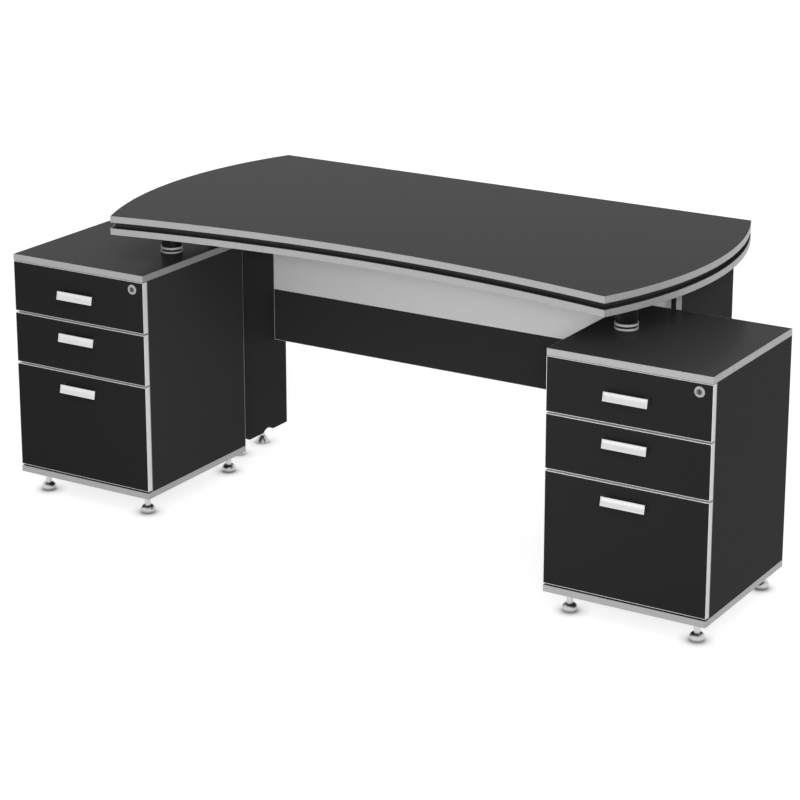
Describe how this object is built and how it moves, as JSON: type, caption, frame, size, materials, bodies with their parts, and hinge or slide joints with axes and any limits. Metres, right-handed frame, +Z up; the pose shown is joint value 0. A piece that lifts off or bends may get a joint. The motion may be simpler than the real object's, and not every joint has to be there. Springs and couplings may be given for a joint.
{
  "type": "pedestal desk",
  "caption": "Executive desk: layered bowed top with a hollow front edge, raised on posts over drawer pedestals and on rear panel legs with a modesty screen.",
  "frame": {"origin": "on the floor, under the middle of the desk's overall box at rest", "axes": "+X to the right of a person at the drawers, +Y towards the modesty screen, +Z up"},
  "size_m": [1.889, 0.823, 0.75],
  "materials": {
    "black_board": "black laminated board, satin",
    "black_core": "black board, matt",
    "silver_band": "silver edge band, satin",
    "grey_panel": "pale grey laminated board, satin",
    "post_black": "black, satin",
    "ring_silver": "satin",
    "box_board": "light grey board, matt",
    "runner_steel": "zinc-plated steel",
    "handle_aluminium": "bright satin",
    "chrome": "polished"
  },
  "bodies": {
    "desk": {"desktop_upper_board": "black_board", "desktop_spacer": "black_core", "desktop_lower_board": "black_board", "desktop_edge_bands": "silver_band", "standoff_posts": "post_black", "standoff_rings": "ring_silver", "left_leg": "black_board", "right_leg": "black_board", "screen_upper_panel": "grey_panel", "screen_lower_panel": "black_board", "rear_edge_bands": "silver_band", "pedestal_edge_bands": "silver_band", "left_pedestal_top_board": "black_board", "left_pedestal_bottom_board": "black_board", "left_pedestal_carcass": "black_board", "left_pedestal_runners": "runner_steel", "right_pedestal_top_board": "black_board", "right_pedestal_bottom_board": "black_board", "right_pedestal_carcass": "black_board", "right_pedestal_runners": "runner_steel"},
    "left_drawer_1": {"left_drawer_1_front": "black_board", "left_drawer_1_front_band": "silver_band", "left_drawer_1_box": "box_board", "left_drawer_1_handle": "handle_aluminium", "left_lock_housing": "chrome"},
    "left_drawer_2": {"left_drawer_2_front": "black_board", "left_drawer_2_front_band": "silver_band", "left_drawer_2_box": "box_board", "left_drawer_2_handle": "handle_aluminium"},
    "left_drawer_3": {"left_drawer_3_front": "black_board", "left_drawer_3_front_band": "silver_band", "left_drawer_3_box": "box_board", "left_drawer_3_handle": "handle_aluminium"},
    "left_lock": {"left_lock_plug": "chrome"},
    "left_pedestal_foot_front_left": {"left_pedestal_foot_front_left": "chrome"},
    "left_pedestal_foot_front_right": {"left_pedestal_foot_front_right": "chrome"},
    "left_pedestal_foot_back_left": {"left_pedestal_foot_back_left": "chrome"},
    "left_pedestal_foot_back_right": {"left_pedestal_foot_back_right": "chrome"},
    "left_leg_foot_front": {"left_leg_foot_front": "chrome"},
    "left_leg_foot_back": {"left_leg_foot_back": "chrome"},
    "right_drawer_1": {"right_drawer_1_front": "black_board", "right_drawer_1_front_band": "silver_band", "right_drawer_1_box": "box_board", "right_drawer_1_handle": "handle_aluminium", "right_lock_housing": "chrome"},
    "right_drawer_2": {"right_drawer_2_front": "black_board", "right_drawer_2_front_band": "silver_band", "right_drawer_2_box": "box_board", "right_drawer_2_handle": "handle_aluminium"},
    "right_drawer_3": {"right_drawer_3_front": "black_board", "right_drawer_3_front_band": "silver_band", "right_drawer_3_box": "box_board", "right_drawer_3_handle": "handle_aluminium"},
    "right_lock": {"right_lock_plug": "chrome"},
    "right_pedestal_foot_front_left": {"right_pedestal_foot_front_left": "chrome"},
    "right_pedestal_foot_front_right": {"right_pedestal_foot_front_right": "chrome"},
    "right_pedestal_foot_back_left": {"right_pedestal_foot_back_left": "chrome"},
    "right_pedestal_foot_back_right": {"right_pedestal_foot_back_right": "chrome"},
    "right_leg_foot_front": {"right_leg_foot_front": "chrome"},
    "right_leg_foot_back": {"right_leg_foot_back": "chrome"}
  },
  "joints": [
    {"name": "left_drawer_1_slide", "type": "slide", "parent": "desk", "child": "left_drawer_1", "axis": [0, -1, 0], "range_m": [0, 0.26]},
    {"name": "left_drawer_2_slide", "type": "slide", "parent": "desk", "child": "left_drawer_2", "axis": [0, -1, 0], "range_m": [0, 0.26]},
    {"name": "left_drawer_3_slide", "type": "slide", "parent": "desk", "child": "left_drawer_3", "axis": [0, -1, 0], "range_m": [0, 0.26]},
    {"name": "left_lock_turn", "type": "hinge", "parent": "left_drawer_1", "child": "left_lock", "pos_m": [-0.5788, -0.3935, 0.588], "axis": [0, 1, 0], "range_deg": [0, 90]},
    {"name": "left_pedestal_foot_front_left_turn", "type": "hinge", "parent": "desk", "child": "left_pedestal_foot_front_left", "pos_m": [-0.9025, -0.3425, 0], "axis": [0, 0, 1], "continuous": true},
    {"name": "left_pedestal_foot_front_right_turn", "type": "hinge", "parent": "desk", "child": "left_pedestal_foot_front_right", "pos_m": [-0.5895, -0.3425, 0], "axis": [0, 0, 1], "continuous": true},
    {"name": "left_pedestal_foot_back_left_turn", "type": "hinge", "parent": "desk", "child": "left_pedestal_foot_back_left", "pos_m": [-0.9025, 0.0035, 0], "axis": [0, 0, 1], "continuous": true},
    {"name": "left_pedestal_foot_back_right_turn", "type": "hinge", "parent": "desk", "child": "left_pedestal_foot_back_right", "pos_m": [-0.5895, 0.0035, 0], "axis": [0, 0, 1], "continuous": true},
    {"name": "left_leg_foot_front_turn", "type": "hinge", "parent": "desk", "child": "left_leg_foot_front", "pos_m": [-0.644, 0.12775, 0], "axis": [0, 0, 1], "continuous": true},
    {"name": "left_leg_foot_back_turn", "type": "hinge", "parent": "desk", "child": "left_leg_foot_back", "pos_m": [-0.644, 0.23675, 0], "axis": [0, 0, 1], "continuous": true},
    {"name": "right_drawer_1_slide", "type": "slide", "parent": "desk", "child": "right_drawer_1", "axis": [0, -1, 0], "range_m": [0, 0.26]},
    {"name": "right_drawer_2_slide", "type": "slide", "parent": "desk", "child": "right_drawer_2", "axis": [0, -1, 0], "range_m": [0, 0.26]},
    {"name": "right_drawer_3_slide", "type": "slide", "parent": "desk", "child": "right_drawer_3", "axis": [0, -1, 0], "range_m": [0, 0.26]},
    {"name": "right_lock_turn", "type": "hinge", "parent": "right_drawer_1", "child": "right_lock", "pos_m": [0.9132, -0.3935, 0.588], "axis": [0, 1, 0], "range_deg": [0, 90]},
    {"name": "right_pedestal_foot_front_left_turn", "type": "hinge", "parent": "desk", "child": "right_pedestal_foot_front_left", "pos_m": [0.5895, -0.3425, 0], "axis": [0, 0, 1], "continuous": true},
    {"name": "right_pedestal_foot_front_right_turn", "type": "hinge", "parent": "desk", "child": "right_pedestal_foot_front_right", "pos_m": [0.9025, -0.3425, 0], "axis": [0, 0, 1], "continuous": true},
    {"name": "right_pedestal_foot_back_left_turn", "type": "hinge", "parent": "desk", "child": "right_pedestal_foot_back_left", "pos_m": [0.5895, 0.0035, 0], "axis": [0, 0, 1], "continuous": true},
    {"name": "right_pedestal_foot_back_right_turn", "type": "hinge", "parent": "desk", "child": "right_pedestal_foot_back_right", "pos_m": [0.9025, 0.0035, 0], "axis": [0, 0, 1], "continuous": true},
    {"name": "right_leg_foot_front_turn", "type": "hinge", "parent": "desk", "child": "right_leg_foot_front", "pos_m": [0.644, 0.12775, 0], "axis": [0, 0, 1], "continuous": true},
    {"name": "right_leg_foot_back_turn", "type": "hinge", "parent": "desk", "child": "right_leg_foot_back", "pos_m": [0.644, 0.23675, 0], "axis": [0, 0, 1], "continuous": true}
  ]
}
